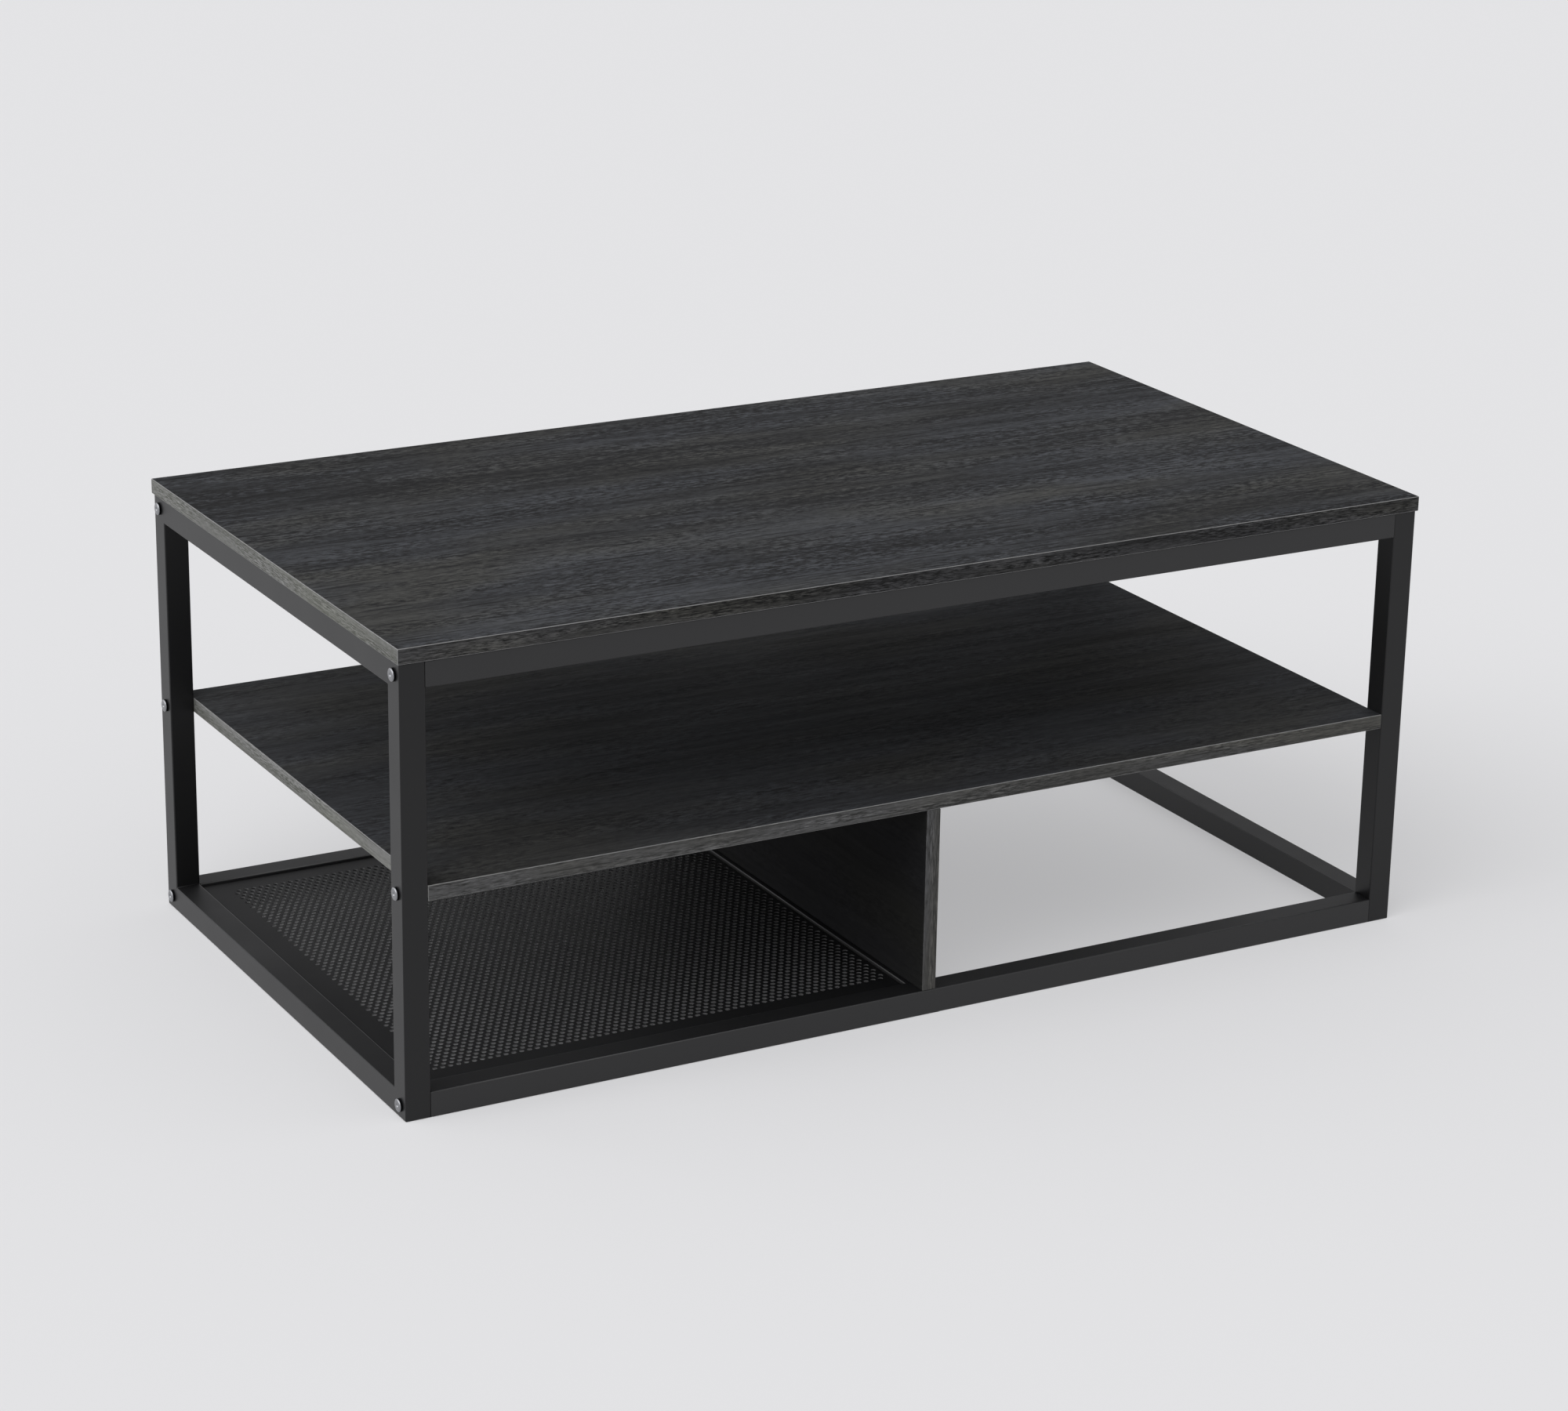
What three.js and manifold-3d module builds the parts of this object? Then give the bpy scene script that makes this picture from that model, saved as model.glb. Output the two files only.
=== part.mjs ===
// Coffee table: a board top on a frame of square steel tube, with a middle shelf over its whole length, an
// upright divider under the shelf and a perforated sheet-steel tray in the left-hand bay of the lower level.
// Millimetres, +Z up. The long front side faces -Y and the tray is at the -X end.
// The origin is on the floor, under the middle of the table.
import * as THREE from 'three';
import { mergeVertices } from 'three/addons/utils/BufferGeometryUtils.js';
import Module from 'manifold-3d';

// ---------------------------------------------------------------- driving dimensions
const tableLength = 1100; // top board along X
const tableWidth = 600; // top board along Y
const tableHeight = 450; // floor to the upper face of the top board
const topOverhang = 2; // top board past the frame, all round
const topThickness = 15;
const shelfHeight = 225; // floor to the upper face of the middle shelf
const shelfThickness = 15;
const dividerThickness = 15;
const boardEdge = 1; // broken edge of every board

const tubeSize = 25; // outside of the square tube
const tubeWall = 1.2;
const tubeCorner = 2.5; // outside corner radius of the tube

const trayThickness = 1.2; // sheet steel
const trayRecess = 3; // top of the sheet below the top of the tubes round it
const trayFlange = 12; // height of the folded rim
const trayBend = 2; // outside radius of the fold
const trayBorder = 20; // plain sheet between the tubes and the holes
// The real sheet has 5 mm round holes at 8 mm. Each hole here stands for twenty-five of them, at five times
// the size and pitch, so the open area is the same.
const holePitch = 40;
const holeDiameter = 25;

const boltDiameter = 6; // M6 button-head bolts through the posts
const boltHeadDiameter = 12.5;
const boltHeadHeight = 3;
const socketWidth = 4; // hexagon socket across flats
const socketDepth = 2;
const frameBoltLength = 35; // under the head
const shelfBoltLength = 62;
const endPlateThickness = 4; // tapped plate welded into each rail end
const nutDiameter = 10; // barrel nuts in the shelf ends
const nutLength = 11;
const nutInset = 27; // shelf end to the middle of the nut

const topScrewDiameter = 6; // screws up through the tubes into the top board
const topScrewHeadDiameter = 11;
const topScrewHeadHeight = 2.5;
const topScrewBite = 9; // length of the screw in the board
const topScrewInset = 123; // inside of the post to the first screw of a long rail
const insertDiameter = 9; // threaded inserts in the underside of the top board
const insertLength = 10;

const dividerScrewDiameter = 5; // screws from inside the tray crossbar into the divider
const dividerScrewHeadDiameter = 9;
const dividerScrewHeadHeight = 2.5;
const dividerScrewLength = 45;
const accessHoleDiameter = 13; // holes for the screwdriver in the underside of the crossbar
const dowelDiameter = 8; // wooden dowels between divider and shelf
const dowelInDivider = 21;
const dowelInShelf = 9;
const fixingInset = 98; // front and rear of the divider to its first screw and dowel

const fit = 0.3; // clearance between a piece and the hole or space it goes in

// ---------------------------------------------------------------- derived places
const frameLength = tableLength - 2 * topOverhang;
const frameWidth = tableWidth - 2 * topOverhang;
const frameHeight = tableHeight - topThickness;
const endX = (frameLength - tubeSize) / 2; // middle of the end frames
const sideY = (frameWidth - tubeSize) / 2; // middle of the long rails and posts
const innerX = frameLength / 2 - tubeSize; // inside face of the posts
const innerY = frameWidth / 2 - tubeSize; // inside face of the long rails
const lowZ = tubeSize / 2; // middle of the bottom tubes
const highZ = frameHeight - tubeSize / 2; // middle of the top tubes
const shelfZ = shelfHeight - shelfThickness / 2;
const shelfUnderside = shelfHeight - shelfThickness;
const tubeInside = tubeSize - 2 * tubeWall;

// ---------------------------------------------------------------- materials
const finishes = {
  boardBlack: { color: 0x2f2f31, roughness: 0.55, metalness: 0 },
  powderBlack: { color: 0x2b2b2c, roughness: 0.6, metalness: 0.3 },
  plainSteel: { color: 0x8a8a88, roughness: 0.4, metalness: 1 },
  beech: { color: 0xc49a6c, roughness: 0.7, metalness: 0 },
};

// ---------------------------------------------------------------- solids and booleans
const wasm = await Module();
wasm.setup();

/** A closed three.js geometry, with its shared vertices merged, as a solid to cut. */
function toSolid(geometry) {
  const bare = new THREE.BufferGeometry();
  bare.setAttribute('position', geometry.getAttribute('position'));
  bare.setIndex(geometry.getIndex());
  const merged = mergeVertices(bare);
  const corners = Array.from(merged.getIndex().array);
  const triVerts = [];
  for (let i = 0; i < corners.length; i += 3) {
    const [a, b, c] = corners.slice(i, i + 3);
    if (a !== b && b !== c && c !== a) triVerts.push(a, b, c);
  }
  return new wasm.Manifold(new wasm.Mesh({
    numProp: 3,
    vertProperties: new Float32Array(merged.getAttribute('position').array),
    triVerts: new Uint32Array(triVerts),
  }));
}

/** A solid back as a three.js geometry. */
function toGeometry(solid) {
  const mesh = solid.getMesh();
  const geometry = new THREE.BufferGeometry();
  geometry.setAttribute('position', new THREE.BufferAttribute(new Float32Array(mesh.vertProperties), 3));
  geometry.setIndex(new THREE.BufferAttribute(new Uint32Array(mesh.triVerts), 1));
  return geometry;
}

/** A geometry with a list of tool geometries cut out of it. */
function cut(geometry, tools) {
  return toGeometry(tools.reduce((body, tool) => body.subtract(toSolid(tool)), toSolid(geometry)));
}

/** Overlapping geometries joined into one. */
function join(geometries) {
  return toGeometry(geometries.map(toSolid).reduce((whole, part) => whole.add(part)));
}

/** A named piece of the table, put at a place and turned about X, Y and Z. */
function piece(name, geometry, finish, position = [0, 0, 0], rotation = [0, 0, 0]) {
  const material = new THREE.MeshStandardMaterial(finish);
  const mesh = new THREE.Mesh(geometry, material);
  mesh.name = name;
  mesh.position.set(...position);
  mesh.rotation.set(...rotation);
  return mesh;
}

// ---------------------------------------------------------------- basic forms
// Few faces where a round form is small or out of sight.
const boreSides = 8;
const boltSides = 10;
const screwSides = 8;
const holeSides = 6;
const edgeFacets = 1;
const cornerFacets = 2;

/** A round bar or drill along X, Y or Z, centred on the origin. */
function roundBar(axis, diameter, length, sides = boreSides) {
  const bar = new THREE.CylinderGeometry(diameter / 2, diameter / 2, length, sides);
  if (axis === 'x') bar.rotateZ(-Math.PI / 2);
  if (axis === 'z') bar.rotateX(Math.PI / 2);
  return bar;
}

/** A rectangle with round corners, drawn on a Shape or Path round the origin. */
function roundedRectangle(path, width, height, radius) {
  const x = width / 2 - radius;
  const y = height / 2 - radius;
  path.absarc(x, y, radius, 0, Math.PI / 2);
  path.absarc(-x, y, radius, Math.PI / 2, Math.PI);
  path.absarc(-x, -y, radius, Math.PI, 1.5 * Math.PI);
  path.absarc(x, -y, radius, 1.5 * Math.PI, 2 * Math.PI);
  return path;
}

/** A board with broken edges, centred on the origin, its thickness along Z. */
function board(sizeX, sizeY, thickness) {
  const inset = 2 * boardEdge;
  const outline = roundedRectangle(new THREE.Shape(), sizeX - inset, sizeY - inset, boardEdge);
  const form = new THREE.ExtrudeGeometry(outline, {
    depth: thickness - inset,
    bevelThickness: boardEdge,
    bevelSize: boardEdge,
    bevelSegments: edgeFacets,
    curveSegments: edgeFacets,
  });
  form.translate(0, 0, boardEdge - thickness / 2);
  return form;
}

/** A square tube along Z, centred on the origin. A mitred one has 45 degree ends, its long side at -Y. */
function squareTube(length, mitred = false) {
  const section = roundedRectangle(new THREE.Shape(), tubeSize, tubeSize, tubeCorner);
  section.holes.push(roundedRectangle(new THREE.Path(), tubeInside, tubeInside, tubeCorner - tubeWall));
  const settings = { depth: length, bevelEnabled: false, curveSegments: cornerFacets };
  const tube = new THREE.ExtrudeGeometry(section, settings);
  tube.translate(0, 0, -length / 2);
  if (!mitred) return tube;
  const position = tube.getAttribute('position');
  for (let i = 0; i < position.count; i += 1) {
    const setBack = position.getY(i) + tubeSize / 2;
    position.setZ(i, position.getZ(i) - Math.sign(position.getZ(i)) * setBack);
  }
  return tube;
}

/** Drills straight through both walls of a tube that runs along Z, across it along the given axis. */
function crossDrills(axis, diameter, places) {
  return places.map((place) => roundBar(axis, diameter, tubeSize + 2).translate(0, 0, place));
}

/** A domed screw or bolt pointing to +X, its outline turned round its axis. The head seats at the origin. */
function headedScrew(diameter, length, headDiameter, headHeight, sides) {
  const headRadius = headDiameter / 2;
  const rimHeight = headHeight * 0.35;
  const shoulderHeight = headHeight * 0.75;
  const outline = [
    [0, -headHeight],
    [headRadius * 0.5, -headHeight],
    [headRadius * 0.85, -shoulderHeight],
    [headRadius, -rimHeight],
    [headRadius, 0],
    [diameter / 2, 0],
    [diameter / 2, length],
    [0, length],
  ];
  const points = outline.map(([radius, height]) => new THREE.Vector2(radius, height));
  return new THREE.LatheGeometry(points, sides).rotateZ(-Math.PI / 2);
}

/** A hexagon socket to cut in the face of a bolt head that points to +X. */
function hexagonSocket(headHeight) {
  const socket = roundBar('x', socketWidth / Math.cos(Math.PI / 6), 2 * socketDepth, 6);
  return socket.translate(-headHeight, 0, 0);
}

// ---------------------------------------------------------------- places of the fasteners
const cornerSigns = [[-1, -1], [-1, 1], [1, -1], [1, 1]]; // X and Y signs of the four posts
const railScrewX = [-1, 0, 1].map((side) => side * (innerX - topScrewInset));
const dividerFixingY = [-1, 0, 1].map((side) => side * (frameWidth / 2 - fixingInset));
const boltBore = boltDiameter + 2 * fit;
const topScrewBore = topScrewDiameter + 2 * fit;
const topScrewPlaces = [
  ...railScrewX.flatMap((x) => [[x, -sideY], [x, sideY]]),
  [-endX, 0],
  [endX, 0],
];

// ---------------------------------------------------------------- boards
function topBoard() {
  const pocketDepth = insertLength + fit;
  const pockets = topScrewPlaces.map(([x, y]) =>
    roundBar('z', insertDiameter + 2 * fit, 2 * pocketDepth).translate(x, y, -topThickness / 2));
  return cut(board(tableLength, tableWidth, topThickness), pockets);
}

function middleShelf() {
  const length = 2 * innerX;
  const boltDepth = shelfBoltLength - tubeSize + fit;
  const nutPocketTop = nutLength / 2 + fit;
  const bolts = cornerSigns.map(([sx, sy]) =>
    roundBar('x', boltBore, 2 * boltDepth).translate(sx * innerX, sy * sideY, 0));
  const pocketLength = nutPocketTop + shelfThickness;
  const nuts = cornerSigns.map(([sx, sy]) =>
    roundBar('z', nutDiameter + 2 * fit, pocketLength)
      .translate(sx * (innerX - nutInset), sy * sideY, nutPocketTop - pocketLength / 2));
  const dowels = dividerFixingY.map((y) =>
    roundBar('z', dowelDiameter + 2 * fit, 2 * (dowelInShelf + fit)).translate(0, y, -shelfThickness / 2));
  return cut(board(length, frameWidth, shelfThickness), [...bolts, ...nuts, ...dowels]);
}

function divider() {
  const height = shelfUnderside - tubeSize;
  const panel = board(height, frameWidth, dividerThickness).rotateY(-Math.PI / 2);
  const dowels = dividerFixingY.map((y) =>
    roundBar('z', dowelDiameter + 2 * fit, 2 * (dowelInDivider + fit)).translate(0, y, height / 2));
  const screwDepth = dividerScrewLength - tubeWall + fit;
  const screws = dividerFixingY.map((y) =>
    roundBar('z', dividerScrewDiameter + 2 * fit, 2 * screwDepth).translate(0, y, -height / 2));
  return cut(panel, [...dowels, ...screws]);
}

// ---------------------------------------------------------------- frame
/** An end frame: four mitred tubes welded into an upright rectangle, drilled for the bolts. */
function endFrame(side, x) {
  const group = new THREE.Group();
  group.position.x = x;
  const boltPlaces = [lowZ, shelfZ, highZ].map((z) => z - frameHeight / 2);
  const post = cut(squareTube(frameHeight, true), crossDrills('x', boltBore, boltPlaces));
  const bottomBar = cut(squareTube(frameWidth, true), crossDrills('x', boltBore, [-sideY, sideY]));
  const topBar = cut(bottomBar, crossDrills('y', topScrewBore, [0]));
  const finish = finishes.powderBlack;
  group.add(
    piece(`${side}_front_post`, post, finish, [0, -sideY, frameHeight / 2]),
    piece(`${side}_rear_post`, post, finish, [0, sideY, frameHeight / 2], [0, 0, Math.PI]),
    piece(`${side}_bottom_crossbar`, bottomBar, finish, [0, 0, lowZ], [Math.PI / 2, 0, 0]),
    piece(`${side}_top_crossbar`, topBar, finish, [0, 0, highZ], [-Math.PI / 2, 0, 0]),
  );
  return group;
}

/** A long rail along Z: a tube with a tapped plate welded in flush at each end, for the bolts. */
function longRail() {
  const length = 2 * innerX;
  const plateSide = tubeInside + tubeWall;
  const plate = (end) => new THREE.BoxGeometry(plateSide, plateSide, endPlateThickness)
    .translate(0, 0, end * (length - endPlateThickness) / 2);
  const closed = join([squareTube(length), plate(-1), plate(1)]);
  return cut(closed, [roundBar('z', boltBore, length + 2)]);
}

/** The four rails along the table, between the posts. The upper two are drilled for the board's screws. */
function longRails() {
  const group = new THREE.Group();
  const bottomRail = longRail();
  const topRail = cut(bottomRail, crossDrills('x', topScrewBore, railScrewX));
  for (const [name, y] of [['front', -sideY], ['rear', sideY]]) {
    group.add(
      piece(`${name}_bottom_rail`, bottomRail, finishes.powderBlack, [0, y, lowZ], [0, Math.PI / 2, 0]),
      piece(`${name}_top_rail`, topRail, finishes.powderBlack, [0, y, highZ], [0, Math.PI / 2, 0]),
    );
  }
  return group;
}

// ---------------------------------------------------------------- tray
/** The tube under the divider, welded between the two bottom rails. It carries the tray's right-hand side. */
function trayCrossbar() {
  const wallDrill = (diameter, wallX, y) => roundBar('x', diameter, tubeSize).translate(wallX, 0, y);
  const screwHoles = dividerFixingY.map((y) => wallDrill(dividerScrewDiameter + 2 * fit, -tubeSize / 2, y));
  const accessHoles = dividerFixingY.map((y) => wallDrill(accessHoleDiameter, tubeSize / 2, y));
  const bar = cut(squareTube(2 * innerY), [...screwHoles, ...accessHoles])
    .rotateY(Math.PI / 2)
    .rotateZ(Math.PI / 2);
  return piece('tray_crossbar', bar, finishes.powderBlack, [0, 0, lowZ]);
}

const trayLeft = fit - innerX;
const trayRight = -tubeSize / 2 - fit;
const trayLength = trayRight - trayLeft;
const trayWidth = 2 * (innerY - fit);
const trayTop = tubeSize - trayRecess;

/** A pan upside down: a rectangle with its upper edge rounded over, its top at the given height. */
function panForm(length, width, bend, top, height) {
  const outline = roundedRectangle(new THREE.Shape(), length - 2 * bend, width - 2 * bend, bend);
  const form = new THREE.ExtrudeGeometry(outline, {
    depth: height,
    bevelThickness: bend,
    bevelSize: bend,
    bevelSegments: cornerFacets,
    curveSegments: cornerFacets,
  });
  return form.translate(0, 0, top - height - bend);
}

/** The centres of a staggered pattern: every second row is shifted by half a pitch. */
function staggeredCentres(length, width) {
  const rowStep = holePitch * Math.sin(Math.PI / 3);
  const rows = Math.floor((width - holeDiameter) / rowStep) + 1;
  const columns = Math.floor((length - holeDiameter - holePitch / 2) / holePitch) + 1;
  const centres = [];
  for (let row = 0; row < rows; row += 1) {
    const shift = row % 2 === 0 ? -holePitch / 4 : holePitch / 4;
    for (let column = 0; column < columns; column += 1) {
      const x = (column - (columns - 1) / 2) * holePitch + shift;
      const y = (row - (rows - 1) / 2) * rowStep;
      centres.push([x, y]);
    }
  }
  return centres;
}

/** The perforated sheet: a folded pan with its rim down, between the bottom tubes and the crossbar. */
function perforatedTray() {
  const inside = 2 * trayThickness;
  const belowRim = trayTop - trayFlange;
  const outer = panForm(trayLength, trayWidth, trayBend, trayTop, trayFlange + trayBend);
  const hollow = panForm(trayLength - inside, trayWidth - inside, trayBend - trayThickness,
    trayTop - trayThickness, trayFlange + trayBend);
  const floorCut = new THREE.BoxGeometry(trayLength + 2, trayWidth + 2, 2 * trayFlange)
    .translate(0, 0, belowRim - trayFlange);
  const centres = staggeredCentres(trayLength - 2 * trayBorder, trayWidth - 2 * trayBorder);
  const holes = centres.map(([x, y]) =>
    roundBar('z', holeDiameter, 4 * trayThickness, holeSides).translate(x, y, trayTop - trayThickness));
  const pan = cut(outer, [hollow, floorCut, ...holes]);
  return piece('perforated_tray', pan, finishes.powderBlack, [(trayLeft + trayRight) / 2, 0, 0]);
}

// ---------------------------------------------------------------- fasteners
/** The bolts through the posts, their heads outside, and the barrel nuts of the bolts that hold the shelf. */
function postFasteners() {
  const group = new THREE.Group();
  const finish = finishes.plainSteel;
  const socket = hexagonSocket(boltHeadHeight);
  const bolt = (length) =>
    cut(headedScrew(boltDiameter, length, boltHeadDiameter, boltHeadHeight, boltSides), [socket]);
  const frameBolt = bolt(frameBoltLength);
  const shelfBolt = bolt(shelfBoltLength);
  const nut = cut(roundBar('z', nutDiameter, nutLength), [roundBar('x', boltBore, nutDiameter + 2)]);
  const levels = [['low', lowZ, frameBolt], ['shelf', shelfZ, shelfBolt], ['high', highZ, frameBolt]];
  for (const [end, signX, turn] of [['left', -1, 0], ['right', 1, Math.PI]]) {
    for (const [side, y] of [['front', -sideY], ['rear', sideY]]) {
      for (const [level, z, geometry] of levels) {
        const name = `${end}_${side}_${level}_bolt`;
        group.add(piece(name, geometry, finish, [signX * frameLength / 2, y, z], [0, 0, turn]));
      }
      group.add(piece(`${end}_${side}_barrel_nut`, nut, finish, [signX * (innerX - nutInset), y, shelfZ]));
    }
  }
  return group;
}

/** The screws that hold the top board from below, through the tubes, and their threaded inserts. */
function topBoardFixings() {
  const group = new THREE.Group();
  const length = tubeSize + topScrewBite;
  const screw = headedScrew(topScrewDiameter, length, topScrewHeadDiameter, topScrewHeadHeight, screwSides)
    .rotateY(-Math.PI / 2);
  const insert = cut(roundBar('z', insertDiameter, insertLength - fit),
    [roundBar('z', topScrewBore, insertLength)]);
  const seatZ = frameHeight - tubeSize;
  const insertZ = frameHeight + (insertLength + fit) / 2;
  topScrewPlaces.forEach(([x, y], i) => {
    group.add(
      piece(`top_screw_${i + 1}`, screw, finishes.plainSteel, [x, y, seatZ]),
      piece(`top_insert_${i + 1}`, insert, finishes.plainSteel, [x, y, insertZ]),
    );
  });
  return group;
}

/** The divider's fixings: screws from inside the crossbar below it, and dowels into the shelf above it. */
function dividerFixings() {
  const group = new THREE.Group();
  const screw = headedScrew(dividerScrewDiameter, dividerScrewLength, dividerScrewHeadDiameter,
    dividerScrewHeadHeight, screwSides).rotateY(-Math.PI / 2);
  const dowel = roundBar('z', dowelDiameter, dowelInDivider + dowelInShelf);
  const dowelZ = shelfUnderside + (dowelInShelf - dowelInDivider) / 2;
  dividerFixingY.forEach((y, i) => {
    group.add(
      piece(`divider_screw_${i + 1}`, screw, finishes.plainSteel, [0, y, tubeSize - tubeWall]),
      piece(`divider_dowel_${i + 1}`, dowel, finishes.beech, [0, y, dowelZ]),
    );
  });
  return group;
}

// ---------------------------------------------------------------- assembly
const coffeeTable = new THREE.Group();
coffeeTable.add(
  piece('top_board', topBoard(), finishes.boardBlack, [0, 0, tableHeight - topThickness / 2]),
  piece('middle_shelf', middleShelf(), finishes.boardBlack, [0, 0, shelfZ]),
  piece('divider_panel', divider(), finishes.boardBlack, [0, 0, (tubeSize + shelfUnderside) / 2]),
  endFrame('left', -endX),
  endFrame('right', endX),
  longRails(),
  trayCrossbar(),
  perforatedTray(),
  postFasteners(),
  topBoardFixings(),
  dividerFixings(),
);

export default coffeeTable;
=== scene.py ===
# %% [markdown]
# # A black coffee table with a perforated tray
# The real table is a kit: two welded end frames of square steel tube, long rails bolted between them,
# three boards faced with black wood-grain melamine, and a tray of perforated sheet steel.
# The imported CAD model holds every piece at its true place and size. This lesson gives each piece its
# finish, and remodels the pieces whose edges, folds and holes the CAD model only draws coarsely.
# Everything is in metres, in the CAD model's own frame, so nothing here is placed by eye.

# %% The fixed frame
from math import cos, pi, radians, sin, sqrt

import bmesh
import bpy
from mathutils import Matrix, Vector


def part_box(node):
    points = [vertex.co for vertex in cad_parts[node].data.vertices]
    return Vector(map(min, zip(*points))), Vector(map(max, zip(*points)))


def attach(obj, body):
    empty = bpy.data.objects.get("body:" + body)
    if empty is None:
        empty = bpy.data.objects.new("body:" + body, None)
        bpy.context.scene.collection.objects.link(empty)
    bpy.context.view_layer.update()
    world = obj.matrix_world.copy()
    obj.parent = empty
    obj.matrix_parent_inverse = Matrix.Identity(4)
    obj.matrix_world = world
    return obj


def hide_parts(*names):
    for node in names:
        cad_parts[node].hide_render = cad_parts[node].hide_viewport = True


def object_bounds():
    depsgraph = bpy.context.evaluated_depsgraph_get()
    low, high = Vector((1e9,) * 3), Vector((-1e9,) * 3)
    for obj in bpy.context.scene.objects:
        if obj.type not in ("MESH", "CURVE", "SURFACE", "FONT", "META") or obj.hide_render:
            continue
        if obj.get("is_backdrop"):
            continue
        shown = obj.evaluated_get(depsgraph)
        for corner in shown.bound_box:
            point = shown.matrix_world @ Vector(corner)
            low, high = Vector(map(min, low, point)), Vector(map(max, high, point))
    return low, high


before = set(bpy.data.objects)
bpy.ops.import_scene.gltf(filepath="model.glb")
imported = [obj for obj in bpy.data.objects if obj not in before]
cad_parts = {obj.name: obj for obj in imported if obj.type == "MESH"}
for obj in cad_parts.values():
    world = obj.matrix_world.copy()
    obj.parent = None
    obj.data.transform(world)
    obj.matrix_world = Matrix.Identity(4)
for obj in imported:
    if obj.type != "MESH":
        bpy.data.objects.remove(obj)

MM = 0.001
cad_box = [list(corner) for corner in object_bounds()]
cad_size = [round((high - low) / MM) for low, high in zip(*cad_box)]
print(len(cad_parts), "pieces in a box of", cad_size, "mm")

# %% [markdown]
# ## Helpers for colour and materials
# Colours are written as sRGB hex, the way a paint or a screen colour is quoted, but shaders calculate
# with linear light. One function turns the first into the second.
# One more function adds a node with its settings and its inputs, so that a material reads as a short
# list of steps, and a third starts a material from the values on its shader's own sockets.

# %% Colour and node helpers
def linear(hex_colour):
    """An sRGB hex colour as linear RGBA."""
    channels = [int(hex_colour[i:i + 2], 16) / 255 for i in (1, 3, 5)]
    straight = [c / 12.92 if c <= 0.04045 else ((c + 0.055) / 1.055) ** 2.4 for c in channels]
    return (*straight, 1.0)


def add(tree, kind, inputs, **settings):
    """Adds a node and returns it. Settings are the node's own properties.

    Each input is a plain value, an output, or a node that stands for its first output."""
    node = tree.nodes.new("ShaderNode" + kind)
    for name, value in settings.items():
        setattr(node, name, value)
    for name, value in inputs.items():
        source = value.outputs[0] if isinstance(value, bpy.types.Node) else value
        if isinstance(source, bpy.types.NodeSocket):
            tree.links.new(source, node.inputs[name])
        else:
            node.inputs[name].default_value = source
    return node


def new_material(name, **shader):
    """A material with a Principled shader. The keyword values set the shader's own sockets."""
    material = bpy.data.materials.new(name)
    material.use_nodes = True
    tree = material.node_tree
    principled = tree.nodes["Principled BSDF"]
    for socket, value in shader.items():
        principled.inputs[socket.replace("_", " ")].default_value = value
    return material, tree, principled


print("mid grey #808080 is", round(linear("#808080")[0], 3), "in linear light")

# %% [markdown]
# ## Black wood-grain melamine
# The boards are particle board under a melamine film: paper printed with a dark oak grain, soaked in
# resin and pressed hot against an embossed steel plate. The eye gets a matt black in broad soft bands,
# a little bluer here and browner there, with crowds of short light and dark flecks between calmer
# places, and thin pores that run on for longer.
# It could be drawn from pictures of wood, but noise stretched along the grain does the same with no
# image: each layer below is one feature of the print, at its real length and width. The flecks and
# pores are drawn a little wider than the real ones, which are under 2 mm, so that they show.

# %% The print's layers
# Length along the grain and width across it in mm, then the noise's own detail and roughness.
PRINT_LAYERS = {"tint": (280, 120, 2.0, 0.5), "bands": (600, 75, 2.0, 0.5),
                "streaks": (170, 11, 4.0, 0.55), "crowds": (140, 26, 2.0, 0.5),
                "flecks": (11, 3.5, 4.0, 0.7), "pores": (90, 3.5, 3.0, 0.6)}
# How much each layer moves the tone between the dark of the pores and the light of the ground.
TONE_WEIGHTS = {"bands": 2.4, "streaks": 1.3, "flecks": 9.0}
# How much of the flecks is left in the calm places between two crowds.
CALM_SHARE = 0.3
# Where each layer's noise begins to count and where it counts in full. It swings round 0.5, and the
# tone, which is the weighted sum, swings wider.
RANGES = {"crowds": (0.42, 0.62), "tone": (-0.1, 1.5), "tint": (0.36, 0.56), "pores": (0.36, 0.44),
          "streaks": (0.35, 0.65)}
limits = {part: {"From Min": low, "From Max": high} for part, (low, high) in RANGES.items()}
# The film is roughest where it is darkest, and the steel plate presses its relief this deep.
MATT, LESS_MATT = 0.8, 0.68
EMBOSSING = 0.3 * MM
print(len(PRINT_LAYERS), "layers in the print")

# %% [markdown]
# Bands, streaks and flecks are added up by weight, and the sum chooses the tone. The crowds layer says
# where the flecks count, the tint layer leans the lighter ground to blue or brown, and the pores are
# laid over it all. The same flecks and pores press the bump, because the steel plate is cut to match
# the print.
# The film's resin has the usual IOR of 1.5. The embossing is rougher than the shader's own roughness
# can tell, and it hides most of the sheen at a low angle, so the specular level is low as well.

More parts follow.
